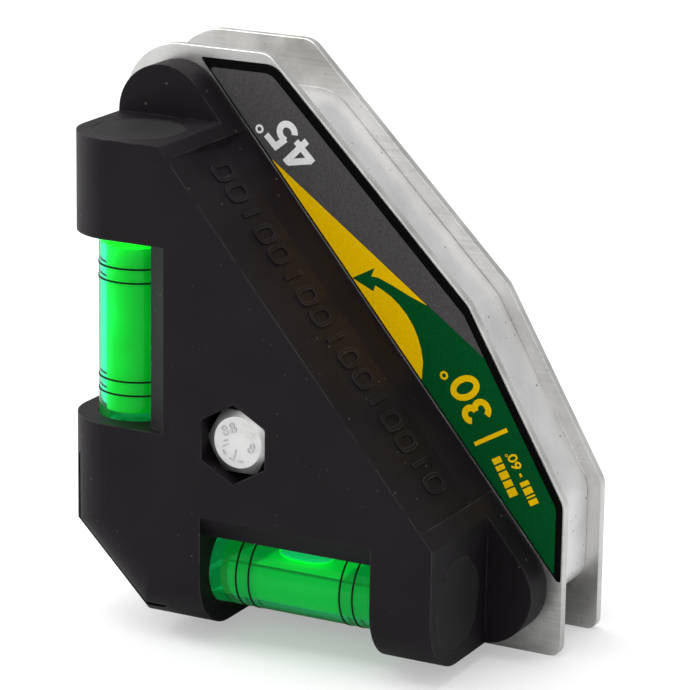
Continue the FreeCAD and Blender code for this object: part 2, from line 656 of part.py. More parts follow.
# ---- build ----------------------------------------------------------------
def build():
    save("level_housing", level_housing())
    vertical_vial()
    horizontal_vial()
    half = VIAL_LENGTH / 2
    save("top_bore_plug", bore_plug(Vector(AXIS_X, AXIS_Y, BODY_TOP), Z_AXIS,
                                    BODY_TOP - VERTICAL_MIDDLE - half))
    save("side_bore_plug", bore_plug(Vector(BODY_RIGHT, AXIS_Y, AXIS_Z), X_AXIS,
                                     BODY_RIGHT - HORIZONTAL_MIDDLE - half))
    save("front_pole_plate", pole_plate(FRONT_PLATE, True))
    save("rear_pole_plate", pole_plate(CORE_BACK, False))
    save("core_frame", core_frame())
    for name, *place in magnet_blocks():
        save(name, magnet(*place, 0))
    save("dowel_pins", dowel_pins())
    save("hex_bolt", hex_bolt())
    save("bolt_sleeve", bolt_sleeve())
    save("rear_washer", rear_washer())
    save("lock_nut", lock_nut())
    save("lock_nut_insert", lock_nut_insert())
    save("front_label", front_label())
    save("rear_label", rear_label())


build()
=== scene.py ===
import bmesh
import bpy
import numpy as np
from mathutils import Matrix, Vector


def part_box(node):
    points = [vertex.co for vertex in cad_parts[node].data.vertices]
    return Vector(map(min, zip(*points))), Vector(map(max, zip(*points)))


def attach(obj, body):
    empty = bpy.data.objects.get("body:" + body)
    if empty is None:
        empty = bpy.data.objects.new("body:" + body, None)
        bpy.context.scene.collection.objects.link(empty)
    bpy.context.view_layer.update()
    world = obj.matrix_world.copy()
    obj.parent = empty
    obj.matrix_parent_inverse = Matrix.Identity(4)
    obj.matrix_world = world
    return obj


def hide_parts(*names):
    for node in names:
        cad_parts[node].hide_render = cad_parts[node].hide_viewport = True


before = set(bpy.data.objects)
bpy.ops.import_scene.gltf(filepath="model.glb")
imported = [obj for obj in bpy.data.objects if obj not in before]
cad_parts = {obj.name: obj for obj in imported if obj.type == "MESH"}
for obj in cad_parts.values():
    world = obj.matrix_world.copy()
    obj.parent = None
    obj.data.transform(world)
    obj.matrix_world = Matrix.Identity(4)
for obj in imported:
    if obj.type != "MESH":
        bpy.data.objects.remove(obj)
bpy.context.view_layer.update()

# ---- bench, light and camera ----------------------------------------------
# The holder stands on the lower edges of its plates on a plain pale bench top.
# A wide softbox hangs over it, a tall one stands on its left and a weak one in
# front; the camera looks down from the right, where both vials can be read.
MM = 0.001

BENCH_HALF_WIDTH = 6.0
BENCH_COLOUR, BENCH_CLOUD = (0.62, 0.62, 0.622), (0.60, 0.60, 0.602)
BENCH_DIM_COLOUR = (0.62, 0.62, 0.625)
BENCH_GLOW = 0.62
BENCH_ROUGHNESS = 0.8
ROOM_LIGHT = 0.5


def link(piece):
    """Puts a new object into the scene and returns it."""
    bpy.context.scene.collection.objects.link(piece)
    return piece


def grid_mesh(name, points, around=False, across=False, flip=False):
    """A mesh from a grid of points, one quad to a cell. Cell (i, j) has the corners
    (i, j), (i, j+1), (i+1, j+1) and (i+1, j). around joins the last column to the
    first, across joins the last row to the first, flip turns the faces round."""
    rows, columns = points.shape[:2]
    index = np.arange(rows * columns).reshape(rows, columns)
    if around:
        index = np.concatenate([index, index[:, :1]], axis=1)
    if across:
        index = np.concatenate([index, index[:1]], axis=0)
    quads = np.stack([index[:-1, :-1], index[:-1, 1:], index[1:, 1:], index[1:, :-1]],
                     axis=-1).reshape(-1, 4)
    if flip:
        quads = quads[:, ::-1]
    mesh = bpy.data.meshes.new(name)
    mesh.from_pydata(points.reshape(-1, 3).tolist(), [], quads.tolist())
    mesh.update()
    return mesh


def material(name):
    """A new node material with its Principled shader and its output joined."""
    made = bpy.data.materials.new(name)
    made.use_nodes = True
    nodes = made.node_tree.nodes
    nodes.clear()
    shader = nodes.new("ShaderNodeBsdfPrincipled")
    output = nodes.new("ShaderNodeOutputMaterial")
    made.node_tree.links.new(shader.outputs[0], output.inputs["Surface"])
    return made, shader


def put(tree, kind, values=(), **settings):
    """A node of that kind in tree, with its settings and its input values."""
    node = tree.nodes.new(kind)
    for key, value in settings.items():
        setattr(node, key, value)
    for key, value in dict(values).items():
        if isinstance(value, bpy.types.NodeSocket):
            tree.links.new(value, node.inputs[key])
        else:
            node.inputs[key].default_value = value
    return node


def rgb(red, green, blue):
    return (red, green, blue, 1.0)


def object_place(tree):
    return put(tree, "ShaderNodeTexCoord").outputs["Object"]


step = np.linspace(-BENCH_HALF_WIDTH, BENCH_HALF_WIDTH, 5)
bench_x, bench_y = np.meshgrid(step, step)
bench = link(bpy.data.objects.new("bench_top", grid_mesh(
    "bench_top", np.stack([bench_x, bench_y, 0 * bench_x], axis=-1))))
bench_paint, shader = material("bench_paint")
tree = bench_paint.node_tree
cloud = put(tree, "ShaderNodeTexNoise", {"Vector": object_place(tree), "Scale": 9.0})
shade = put(tree, "ShaderNodeMix", {"Factor": cloud.outputs["Fac"],
                                    6: rgb(*BENCH_COLOUR), 7: rgb(*BENCH_CLOUD)},
            data_type="RGBA")
tree.links.new(shade.outputs[2], shader.inputs["Base Color"])
tree.links.new(shade.outputs[2], shader.inputs["Emission Color"])
shader.inputs["Emission Strength"].default_value = BENCH_GLOW
shader.inputs["Roughness"].default_value = BENCH_ROUGHNESS
shader.inputs["Specular IOR Level"].default_value = 0.1
dim = put(tree, "ShaderNodeBsdfDiffuse", {"Color": rgb(*BENCH_DIM_COLOUR)})
seen = put(tree, "ShaderNodeLightPath")
either = put(tree, "ShaderNodeMixShader", {0: seen.outputs["Is Camera Ray"],
                                           1: dim.outputs[0], 2: shader.outputs[0]})
tree.links.new(either.outputs[0], tree.nodes["Material Output"].inputs["Surface"])
bench.data.materials.append(bench_paint)

room = bpy.data.worlds.new("room")
room.use_nodes = True
sky = room.node_tree.nodes["Background"].inputs
sky["Color"].default_value, sky["Strength"].default_value = rgb(1, 1, 1), ROOM_LIGHT
bpy.context.scene.world = room
bpy.context.scene.view_settings.view_transform = "Standard"


def softbox(name, place, target, width, height, power):
    """A rectangular light at place that faces target, with power in watts."""
    lamp = bpy.data.lights.new(name, "AREA")
    lamp.shape = "RECTANGLE"
    lamp.size, lamp.size_y, lamp.energy = width, height, power
    made = link(bpy.data.objects.new(name, lamp))
    made.location = place
    aim = Vector(target) - Vector(place)
    made.rotation_euler = aim.to_track_quat("-Z", "Y").to_euler()


softbox("overhead_softbox", (-0.4, 0.0, 1.3), (0.0, 0.0, 0.0), 1.6, 1.6, 20.0)
softbox("left_softbox", (-1.1, -0.25, 0.45), (0.0, 0.0, 0.06), 0.7, 1.1, 9.0)
softbox("front_softbox", (0.1, -1.5, 0.7), (0.0, 0.0, 0.05), 1.2, 0.8, 4.0)
softbox("right_softbox", (1.2, 0.3, 0.55), (0.0, 0.0, 0.06), 0.8, 1.0, 2.2)

CAMERA_PLACE = (0.326352, -0.631226, 0.258974)
CAMERA_AZIMUTH, CAMERA_ELEVATION, CAMERA_ROLL = np.radians((27.2804, 15.7327, 0.872))
lens = bpy.data.cameras.new("camera")
lens.lens, lens.sensor_width = 187.02, 36.0
camera = link(bpy.data.objects.new("camera", lens))
camera.matrix_world = (Matrix.Translation(CAMERA_PLACE)
                       @ Matrix.Rotation(CAMERA_AZIMUTH, 4, "Z")
                       @ Matrix.Rotation(np.pi / 2 - CAMERA_ELEVATION, 4, "X")
                       @ Matrix.Rotation(CAMERA_ROLL, 4, "Z"))
bpy.context.scene.camera = camera

# ---- moulded housing --------------------------------------------------------
# The front housing is one moulding in black satin plastic that holds both vials
# and hides the bolt head in a hexagonal pocket. Its face is finely grained, its
# edges are painted lighter, partly as wear from handling and partly as a painted
# highlight, and workshop dust sits on it.
HOUSING_BLACK = rgb(0.0088, 0.0068, 0.0086)
HOUSING_BLACK_LIGHT = rgb(0.0108, 0.0086, 0.0106)
# the edge colour stands partly for wear and partly for a painted highlight
HOUSING_WORN_AND_HIGHLIT = rgb(0.040, 0.037, 0.040)
HOUSING_DUST = rgb(0.10, 0.09, 0.085)


def rounded_copy(node, name, edge, angle=30.0, segments=2):
    """A copy of a CAD node's mesh with its loose triangles merged and its sharp edges
    rounded to the width edge."""
    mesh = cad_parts[node].data.copy()
    mesh.name = name
    mesh.materials.clear()
    for spare in [a.name for a in mesh.attributes if a.name == "custom_normal"]:
        mesh.attributes.remove(mesh.attributes[spare])
    shape = bmesh.new()
    shape.from_mesh(mesh)
    bmesh.ops.remove_doubles(shape, verts=shape.verts, dist=1e-6)
    shape.to_mesh(mesh)
    shape.free()
    mesh.polygons.foreach_set("use_smooth", np.ones(len(mesh.polygons), bool))
    mesh.update()
    piece = link(bpy.data.objects.new(name, mesh))
    bevel = piece.modifiers.new("edge", "BEVEL")
    bevel.width, bevel.segments, bevel.harden_normals = edge, segments, True
    bevel.limit_method, bevel.angle_limit = "ANGLE", np.radians(angle)
    bevel.use_clamp_overlap = False
    return piece


def finish_nodes(finish, *nodes):
    """Gives CAD nodes that stay as they are their material."""
    for node in nodes:
        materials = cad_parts[node].data.materials
        materials.clear()
        materials.append(finish)


def mount(piece, slot, *nodes, body="holder"):
    """piece rides on body and stands for nodes, which it hides. slot is not used."""
    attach(piece, body)
    if nodes:
        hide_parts(*nodes)
    return piece


def new_group(name, inputs, outputs):
    """A shader node group. inputs are (name, default) floats or vectors, outputs are
    (name, kind). It returns the tree with its input and output nodes."""
    tree = bpy.data.node_groups.new(name, "ShaderNodeTree")
    for label, default in inputs:
        kind = "NodeSocketVector" if default is None else "NodeSocketFloat"
        socket = tree.interface.new_socket(label, in_out="INPUT", socket_type=kind)
        if default is not None:
            socket.default_value = default
    for label, kind in outputs:
        tree.interface.new_socket(label, in_out="OUTPUT", socket_type=kind)
    return tree, tree.nodes.new("NodeGroupInput"), tree.nodes.new("NodeGroupOutput")


def use_group(tree, group, values=()):
    node = put(tree, "ShaderNodeGroup", node_tree=group)
    for key, value in dict(values).items():
        if isinstance(value, bpy.types.NodeSocket):
            tree.links.new(value, node.inputs[key])
        else:
            node.inputs[key].default_value = value
    return node.outputs


def maths(tree, operation, *values, clamp=False):
    node = put(tree, "ShaderNodeMath", dict(enumerate(values)), operation=operation,
               use_clamp=clamp)
    return node.outputs[0]


def between(tree, value, low, high):
    """0 where value is below low, 1 where it is over high, smooth between."""
    return put(tree, "ShaderNodeMapRange",
               {"Value": value, "From Min": low, "From Max": high},
               interpolation_type="SMOOTHSTEP").outputs[0]


def blend_colour(tree, factor, first, second):
    return put(tree, "ShaderNodeMix", {"Factor": factor, 6: first, 7: second},
               data_type="RGBA").outputs[2]


# worn and highlit edges: how far a rounded normal leaves the true one, broken up by noise;
# the lighter edge colour it brings is partly wear and partly a painted highlight
worn_and_highlit_edges, inside, outside = new_group(
    "worn_and_highlit_edges", [("Radius", 0.0004), ("Patchiness", 300.0)],
    [("Mask", "NodeSocketFloat")])
soft = put(worn_and_highlit_edges, "ShaderNodeBevel", {"Radius": inside.outputs["Radius"]}, samples=6)
true = put(worn_and_highlit_edges, "ShaderNodeNewGeometry")
likeness = put(worn_and_highlit_edges, "ShaderNodeVectorMath", {0: soft.outputs[0],
                                                    1: true.outputs["Normal"]},
               operation="DOT_PRODUCT")
edge = between(worn_and_highlit_edges, maths(worn_and_highlit_edges, "SUBTRACT", 1.0, likeness.outputs["Value"]),
               0.01, 0.16)
patch = put(worn_and_highlit_edges, "ShaderNodeTexNoise",
            {"Vector": object_place(worn_and_highlit_edges), "Scale": inside.outputs["Patchiness"],
             "Detail": 4.0})
broken = between(worn_and_highlit_edges, patch.outputs["Fac"], 0.30, 0.62)
worn_and_highlit_edges.links.new(maths(worn_and_highlit_edges, "MULTIPLY", edge, broken), outside.inputs["Mask"])

# specks: round dots, one to a cell at most, in a given share of the cells
specks, inside, outside = new_group(
    "specks", [("Scale", 900.0), ("Size", 0.2), ("Share", 0.2)],
    [("Mask", "NodeSocketFloat")])
cells = put(specks, "ShaderNodeTexVoronoi", {"Vector": object_place(specks),
                                             "Scale": inside.outputs["Scale"]})
dot = maths(specks, "LESS_THAN", cells.outputs["Distance"], inside.outputs["Size"])
chance = put(specks, "ShaderNodeSeparateColor", {"Color": cells.outputs["Color"]})
chosen = maths(specks, "LESS_THAN", chance.outputs[0], inside.outputs["Share"])
strength = maths(specks, "MULTIPLY", maths(specks, "MULTIPLY", dot, chosen),
                 chance.outputs[1])
specks.links.new(strength, outside.inputs["Mask"])

# moulded grain: two sizes of fine noise as a height from 0 to 1
moulded_grain, inside, outside = new_group(
    "moulded_grain", [("Scale", 1500.0)], [("Height", "NodeSocketFloat"),
                                           ("Cloud", "NodeSocketFloat")])
where = object_place(moulded_grain)
fine = put(moulded_grain, "ShaderNodeTexNoise",
           {"Vector": where, "Scale": inside.outputs["Scale"], "Detail": 3.0})
cloud = put(moulded_grain, "ShaderNodeTexNoise", {"Vector": where, "Scale": 60.0,
                                                  "Detail": 5.0})
moulded_grain.links.new(fine.outputs["Fac"], outside.inputs["Height"])
moulded_grain.links.new(cloud.outputs["Fac"], outside.inputs["Cloud"])


def black_plastic(name, dark, light, worn_and_highlit_colour, dust, roughness, grain_depth, dust_share):
    """Moulded black plastic: cloudy base colour, edges painted lighter (partly wear, partly
    a painted highlight), dust and fine grain.
    """
    made, shader = material(name)
    tree = made.node_tree
    grain = use_group(tree, moulded_grain, {"Scale": 1500.0})
    colour = blend_colour(tree, between(tree, grain["Cloud"], 0.35, 0.65), dark, light)
    # edges painted lighter: partly wear, partly a painted highlight
    worn_and_highlit_mask = use_group(tree, worn_and_highlit_edges, {"Radius": 0.0006, "Patchiness": 260.0})["Mask"]
    colour = blend_colour(tree, worn_and_highlit_mask, colour, worn_and_highlit_colour)
    dots = use_group(tree, specks, {"Scale": 620.0, "Size": 0.16, "Share": dust_share})
    colour = blend_colour(tree, dots["Mask"], colour, dust)
    tree.links.new(colour, shader.inputs["Base Color"])
    smear = put(tree, "ShaderNodeMapRange", {"Value": grain["Cloud"], "From Min": 0.3,
                                             "From Max": 0.7, "To Min": roughness - 0.06,
                                             "To Max": roughness + 0.06})
    tree.links.new(smear.outputs[0], shader.inputs["Roughness"])
    bump = put(tree, "ShaderNodeBump", {"Height": grain["Height"], "Strength": 0.5,
                                        "Distance": grain_depth})
    tree.links.new(bump.outputs[0], shader.inputs["Normal"])
    shader.inputs["Specular IOR Level"].default_value = 0.11
    return made


housing_plastic = black_plastic("black_satin_plastic", HOUSING_BLACK, HOUSING_BLACK_LIGHT,
                                HOUSING_WORN_AND_HIGHLIT, HOUSING_DUST, 0.46, 0.00006, 0.10)
finish_nodes(housing_plastic, "level_housing")

# ---- bore plugs -------------------------------------------------------------
# Two plugs of the same plastic, with a duller face, close the bores that the
# vials were pushed in through. They are pressed in flush with the housing.
PLUG_BLACK = rgb(0.0150, 0.0140, 0.0142)
PLUG_BLACK_LIGHT = rgb(0.0200, 0.0185, 0.0188)
plug_plastic = black_plastic("dull_plug_plastic", PLUG_BLACK, PLUG_BLACK_LIGHT,
                             HOUSING_WORN_AND_HIGHLIT, HOUSING_DUST, 0.62, 0.00003, 0.06)
for node in ("top_bore_plug", "side_bore_plug"):
    plug = rounded_copy(node, node + "_disc", 0.2 * MM)
    plug.data.materials.append(plug_plastic)
    mount(plug, "plug_plastic", node)

# ---- grip marks -------------------------------------------------------------
# A row of low raised rings and bars is moulded into the hollow of the sloping side
# in one piece with the housing. They stand a third of a millimetre proud.
SLOPE_TOP, SLOPE_FOOT = np.array([-24.1, 0.0, 104.2]), np.array([38.0, 0.0, 30.2])
HOUSING_FRONT, FLANGE_FRONT, HOLLOW_DEPTH = -33.65, -8.15, 1.5
MARK_MIDDLE, MARK_HALF_HEIGHT, MARK_HALF_WIDTH = -16.8, 3.6, 1.65
MARK_PITCH, MARK_STROKE, MARK_HEIGHT, MARK_SINK = 5.05, 0.5, 0.32, 0.12
MARK_FIRST, MARK_COUNT, MARK_SQUARENESS = 9.4, 16, 0.62


def on_slope(points):
    """Millimetres (along the slope, y, height over the hollow) as points."""
    along = (SLOPE_FOOT - SLOPE_TOP) / np.linalg.norm(SLOPE_FOOT - SLOPE_TOP)
    out = np.array([-along[2], 0.0, along[0]])
    depth = HOLLOW_DEPTH * (points[:, 1:2] - HOUSING_FRONT) / (FLANGE_FRONT - HOUSING_FRONT)
    place = SLOPE_TOP + along * points[:, :1] + out * (points[:, 2:] - MARK_SINK - depth)
    place[:, 1] = points[:, 1]
    return place * MM


def closed(mesh):
    """Merges a mesh's doubled points at poles and seams and points its faces outwards."""
    shape = bmesh.new()
    shape.from_mesh(mesh)
    bmesh.ops.remove_doubles(shape, verts=shape.verts, dist=2e-7)
    bmesh.ops.recalc_face_normals(shape, faces=shape.faces)
    shape.to_mesh(mesh)
    shape.free()
    mesh.update()
    return mesh


def smooth_under(mesh, angle=35.0):
    """Smooth shading, broken along edges sharper than angle."""
    mesh.polygons.foreach_set("use_smooth", np.ones(len(mesh.polygons), bool))
    mesh.set_sharp_from_angle(angle=np.radians(angle))
    return mesh


def ribbon_points(line, half_width, thick, shut=False):
    """A flat strip carried along a line in the plane of (s, t), with mitred joints:
    each point moves out along the mean normal of its two runs, over the cosine of
    half the turn. Returns a grid, points along the line by four corners, of
    (s, t, height) with height from 0 to thick."""
    line = np.asarray(line, float)
    if shut:
        before, after = line - np.roll(line, 1, 0), np.roll(line, -1, 0) - line
    else:
        runs = np.diff(line, axis=0)
        before, after = np.vstack([runs[:1], runs]), np.vstack([runs, runs[-1:]])
    before /= np.linalg.norm(before, axis=1, keepdims=True)
    after /= np.linalg.norm(after, axis=1, keepdims=True)
    mean = before + after
    mean /= np.maximum(np.linalg.norm(mean, axis=1, keepdims=True), 1e-6)
    cosine = np.clip((mean * after).sum(1, keepdims=True), 0.55, 1)
    out = np.stack([-mean[:, 1], mean[:, 0]], axis=1) * half_width / cosine
    left, right = line + out, line - out
    low, high = np.zeros((len(line), 1)), np.full((len(line), 1), thick)
    return np.stack([np.hstack([left, low]), np.hstack([left, high]),
                     np.hstack([right, high]), np.hstack([right, low])], axis=1)


def ribbon_mesh(name, grids, place):
    """One mesh from several ribbons. place turns (s, t, height) rows into points."""
    points, faces, base = [], [], 0
    for grid, shut in grids:
        count = len(grid)
        points.append(grid.reshape(-1, 3))
        index = base + np.arange(count * 4).reshape(count, 4)
        ring = np.concatenate([index, index[:, :1]], axis=1)
        if shut:
            ring = np.concatenate([ring, ring[:1]], axis=0)
        else:
            faces += [index[0].tolist(), index[-1, ::-1].tolist()]
        faces += np.stack([ring[:-1, :-1], ring[1:, :-1], ring[1:, 1:], ring[:-1, 1:]],
                          axis=-1).reshape(-1, 4).tolist()
        base += count * 4
    mesh = bpy.data.meshes.new(name)
    mesh.from_pydata(place(np.concatenate(points)).tolist(), [], faces)
    return closed(mesh)


def arc(centre, radii, start, end, count=15):
    """Points on an ellipse from angle start to end, in degrees."""
    angle = np.radians(np.linspace(start, end, count))
    return np.stack([centre[0] + radii[0] * np.cos(angle),
                     centre[1] + radii[1] * np.sin(angle)], axis=1)


# every third mark is a bar; a ring is a circle with its coordinates drawn to a power,
# which squares it
mark_lines = []
for place in range(MARK_COUNT):
    at = MARK_FIRST + MARK_PITCH * place
    if place % 3 == 2:
        bar = [(at, MARK_MIDDLE - MARK_HALF_HEIGHT), (at, MARK_MIDDLE + MARK_HALF_HEIGHT)]
        mark_lines.append((ribbon_points(bar, MARK_STROKE, MARK_HEIGHT + MARK_SINK), False))
    else:
        ring = arc((0, 0), (1, 1), 0, 354, 60)
        ring = np.sign(ring) * np.abs(ring) ** MARK_SQUARENESS
        ring = ring * (MARK_HALF_WIDTH, MARK_HALF_HEIGHT) + (at, MARK_MIDDLE)
        mark_lines.append((ribbon_points(ring, MARK_STROKE, MARK_HEIGHT + MARK_SINK, True),
                           True))
grip = link(bpy.data.objects.new("grip_marks", ribbon_mesh("grip_marks", mark_lines,
                                                           on_slope)))
grip.data.materials.append(housing_plastic)
mount(grip, "housing_plastic")

# ---- pole plates ------------------------------------------------------------
# Two steel plates, laser cut and zinc plated, carry the pull of the magnets to
# the work. Their faces are finely brushed and scratched; their edges are painted
# bright, partly as wear and partly as a painted highlight.
PLATE_EDGE = 0.25 * MM
PLATE_LIGHT = rgb(0.80, 0.795, 0.775)
PLATE_DARK = rgb(0.60, 0.595, 0.575)
PLATE_PIT = rgb(0.25, 0.25, 0.24)

# scratches: noise stretched a long way along one direction, cut to thin lines
scratches, inside, outside = new_group(
    "scratches", [("Place", None), ("Scale", 300.0), ("Rarity", 0.6)],
    [("Mask", "NodeSocketFloat")])
lines = put(scratches, "ShaderNodeTexNoise", {"Vector": inside.outputs["Place"],
                                              "Scale": inside.outputs["Scale"],
                                              "Detail": 6.0, "Roughness": 0.65})
over = maths(scratches, "SUBTRACT", lines.outputs["Fac"], inside.outputs["Rarity"])
scratches.links.new(maths(scratches, "MULTIPLY", over, 9.0, clamp=True),
                    outside.inputs["Mask"])


def plated_steel(name, light, dark, pit, roughness, turned):
    """Zinc plated steel: brushed along a direction turned by that angle about Y, with
    pits, scratches across the brushing and edges painted bright, partly as wear and
    partly as a painted highlight."""
    made, shader = material(name)
    tree = made.node_tree
    where = object_place(tree)
    along = put(tree, "ShaderNodeMapping", {"Vector": where, "Rotation": (0, turned, 0),
                                            "Scale": (0.04, 1.0, 1.0)})
    across = put(tree, "ShaderNodeMapping", {"Vector": where,
                                             "Rotation": (0.3, turned + 0.9, 0.2),
                                             "Scale": (0.03, 1.0, 1.0)})
    cloud = put(tree, "ShaderNodeTexNoise", {"Vector": where, "Scale": 110.0,
                                             "Detail": 6.0})
    brushed = put(tree, "ShaderNodeTexNoise", {"Vector": along.outputs[0],
                                               "Scale": 2400.0, "Detail": 4.0})
    colour = blend_colour(tree, between(tree, cloud.outputs["Fac"], 0.3, 0.7), dark, light)
    colour = blend_colour(tree, between(tree, brushed.outputs["Fac"], 0.35, 0.9), colour,
                          light)
    lines = use_group(tree, scratches, {"Place": across.outputs[0], "Scale": 700.0,
                                        "Rarity": 0.63})["Mask"]
    colour = blend_colour(tree, lines, colour, dark)
    stain = put(tree, "ShaderNodeTexNoise", {"Vector": where, "Scale": 900.0,
                                             "Detail": 5.0, "Roughness": 0.7})
    pits = maths(tree, "MULTIPLY", between(tree, stain.outputs["Fac"], 0.60, 0.74), 0.55)
    colour = blend_colour(tree, pits, colour, pit)
    # edges painted bright: partly wear, partly a painted highlight
    worn_and_highlit_mask = use_group(tree, worn_and_highlit_edges, {"Radius": 0.0003, "Patchiness": 500.0})["Mask"]
    colour = blend_colour(tree, worn_and_highlit_mask, colour, rgb(0.92, 0.92, 0.91))
    tree.links.new(colour, shader.inputs["Base Color"])
    shader.inputs["Metallic"].default_value = 1.0
    rough = put(tree, "ShaderNodeMapRange", {"Value": cloud.outputs["Fac"],
                                             "From Min": 0.3, "From Max": 0.7,
                                             "To Min": roughness - 0.07,
                                             "To Max": roughness + 0.1})
    tree.links.new(rough.outputs[0], shader.inputs["Roughness"])
    height = maths(tree, "ADD", brushed.outputs["Fac"],
                   maths(tree, "MULTIPLY", pits, -0.8))
    bump = put(tree, "ShaderNodeBump", {"Height": height, "Strength": 0.35,
                                        "Distance": 0.00003})
    tree.links.new(bump.outputs[0], shader.inputs["Normal"])
    return made


plate_steel = plated_steel("zinc_plated_plate", PLATE_LIGHT, PLATE_DARK, PLATE_PIT, 0.36,
                           0.78)
for node in ("front_pole_plate", "rear_pole_plate"):
    plate = rounded_copy(node, node + "_steel", PLATE_EDGE)
    plate.data.materials.append(plate_steel)
    mount(plate, "plate_steel", node)

# ---- core, magnets, pins and sleeve -----------------------------------------
# A cast aluminium frame holds four ferrite blocks between the plates. Three steel
# dowel pins and the sleeve round the bolt keep the stack in line.
CORE_LIGHT, CORE_DARK = rgb(0.95, 0.945, 0.95), rgb(0.78, 0.775, 0.78)
core_cast, shader = material("cast_aluminium")
tree = core_cast.node_tree
cloud = put(tree, "ShaderNodeTexNoise", {"Vector": object_place(tree), "Scale": 70.0,
                                         "Detail": 5.0})
fine = put(tree, "ShaderNodeTexNoise", {"Vector": object_place(tree), "Scale": 1300.0,
                                        "Detail": 3.0})
pits = use_group(tree, specks, {"Scale": 700.0, "Size": 0.2, "Share": 0.15})["Mask"]
colour = blend_colour(tree, between(tree, cloud.outputs["Fac"], 0.3, 0.7),
                      CORE_DARK, CORE_LIGHT)
tree.links.new(blend_colour(tree, pits, colour, rgb(0.3, 0.3, 0.3)),
               shader.inputs["Base Color"])
shader.inputs["Metallic"].default_value = 1.0
shader.inputs["Roughness"].default_value = 0.42
bump = put(tree, "ShaderNodeBump", {"Height": fine.outputs["Fac"], "Strength": 0.5,
                                    "Distance": 0.00004})
tree.links.new(bump.outputs[0], shader.inputs["Normal"])
core = rounded_copy("core_frame", "cast_core", 0.4 * MM)
core.data.materials.append(core_cast)
mount(core, "core_aluminium", "core_frame")

ferrite, shader = material("ground_ferrite")
tree = ferrite.node_tree
ground = put(tree, "ShaderNodeTexNoise", {"Vector": object_place(tree), "Scale": 900.0,
                                          "Detail": 5.0})
tree.links.new(blend_colour(tree, ground.outputs["Fac"], rgb(0.012, 0.012, 0.013),
                            rgb(0.05, 0.05, 0.052)), shader.inputs["Base Color"])
shader.inputs["Roughness"].default_value = 0.55
pin_steel = plated_steel("turned_pin_steel", rgb(0.62, 0.62, 0.63), rgb(0.45, 0.45, 0.46),
                         PLATE_PIT, 0.3, 0.0)
finish_nodes(ferrite, "magnet_corner", "magnet_lower", "magnet_middle", "magnet_upper")
finish_nodes(pin_steel, "dowel_pins", "bolt_sleeve")

# ---- clamping bolt ----------------------------------------------------------
# One zinc plated M8 hexagon bolt with a 13 mm head clamps the housing and the
# stack. The head is cold forged, with a chamfered rim and stamped figures; the
# rolled thread shows behind the lock nut.
BOLT_LOW, BOLT_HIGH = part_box("hex_bolt")
BOLT_AXIS = (BOLT_LOW + BOLT_HIGH) / 2
BOLT_RADIUS = 4.0 * MM
HEAD_FLATS, HEAD_HEIGHT = 13.0 * MM, 5.3 * MM
HEAD_RIM = 5.35 * MM
HEAD_DISH = 0.12 * MM
THREAD_PITCH, THREAD_LENGTH, THREAD_DEPTH = 1.25 * MM, 24 * MM, 0.62 * MM
THREAD_POINT, TIP_RADIUS = 1.1 * MM, 2.0 * MM
STAMP_HEIGHT, STAMP_STROKE = 0.14 * MM, 0.08
AROUND = 96


def bolt_surface():
    """Head and shank as one surface of angle and profile. Across the head's face the
    radius grows to the rim. Below it the radius is the smaller of a 30 degree cone
    and the hexagon, whose radius at an angle is half the flats over the cosine of
    the angle from the nearest flat. The thread is a ridge whose height is a
    triangle wave of distance along the axis over the pitch, less the turn."""
    angle = np.linspace(0, 2 * np.pi, AROUND, endpoint=False)
    turn = np.pi / 3
    from_flat = (angle + turn / 2) % turn - turn / 2
    hexagon = HEAD_FLATS / 2 / np.cos(from_flat)
    top = BOLT_LOW.y
    face = np.linspace(0, 1, 14)[:, None]
    radii = [face * HEAD_RIM + 0 * angle]
    depth = [top - 0 * angle + HEAD_DISH * (1 - face ** 6) + 0 * face]
    end_of_cone = (hexagon - HEAD_RIM) * np.tan(np.radians(30))
    for share in (0.25, 0.5, 0.75, 1.0):
        radii.append((HEAD_RIM + (hexagon - HEAD_RIM) * share)[None])
        depth.append((top + end_of_cone * share)[None])
    for share in np.linspace(0.1, 1.0, 8):
        radii.append(hexagon[None])
        depth.append((top + end_of_cone + (HEAD_HEIGHT - end_of_cone) * share)[None])
    shank_from, shank_to = top + HEAD_HEIGHT, BOLT_HIGH.y
    plain = np.array([shank_from, shank_to - THREAD_LENGTH])[:, None]
    radii.append(BOLT_RADIUS + 0 * plain + 0 * angle)
    depth.append(plain + 0 * angle)
    along = np.linspace(shank_to - THREAD_LENGTH, shank_to - 0.01 * MM, 300)[:, None]
    wave = np.abs(((along / THREAD_PITCH - angle / (2 * np.pi)) % 1) * 2 - 1)
    run_in = np.clip((along - shank_to + THREAD_LENGTH) / (2 * THREAD_PITCH), 0, 1)
    radius = BOLT_RADIUS - THREAD_DEPTH * run_in * wave
    point = BOLT_RADIUS - np.clip(along - shank_to + THREAD_POINT, 0, None)
    radii.append(np.minimum(radius, point))
    depth.append(along + 0 * angle)
    radii.append(np.array([[TIP_RADIUS], [0.0]]) + 0 * angle)
    depth.append(np.array([[shank_to], [shank_to]]) + 0 * angle)
    radius, y = np.concatenate(radii), np.concatenate(depth)
    return np.stack([BOLT_AXIS.x + radius * np.sin(angle), y,
                     BOLT_AXIS.z + radius * np.cos(angle)], axis=-1)


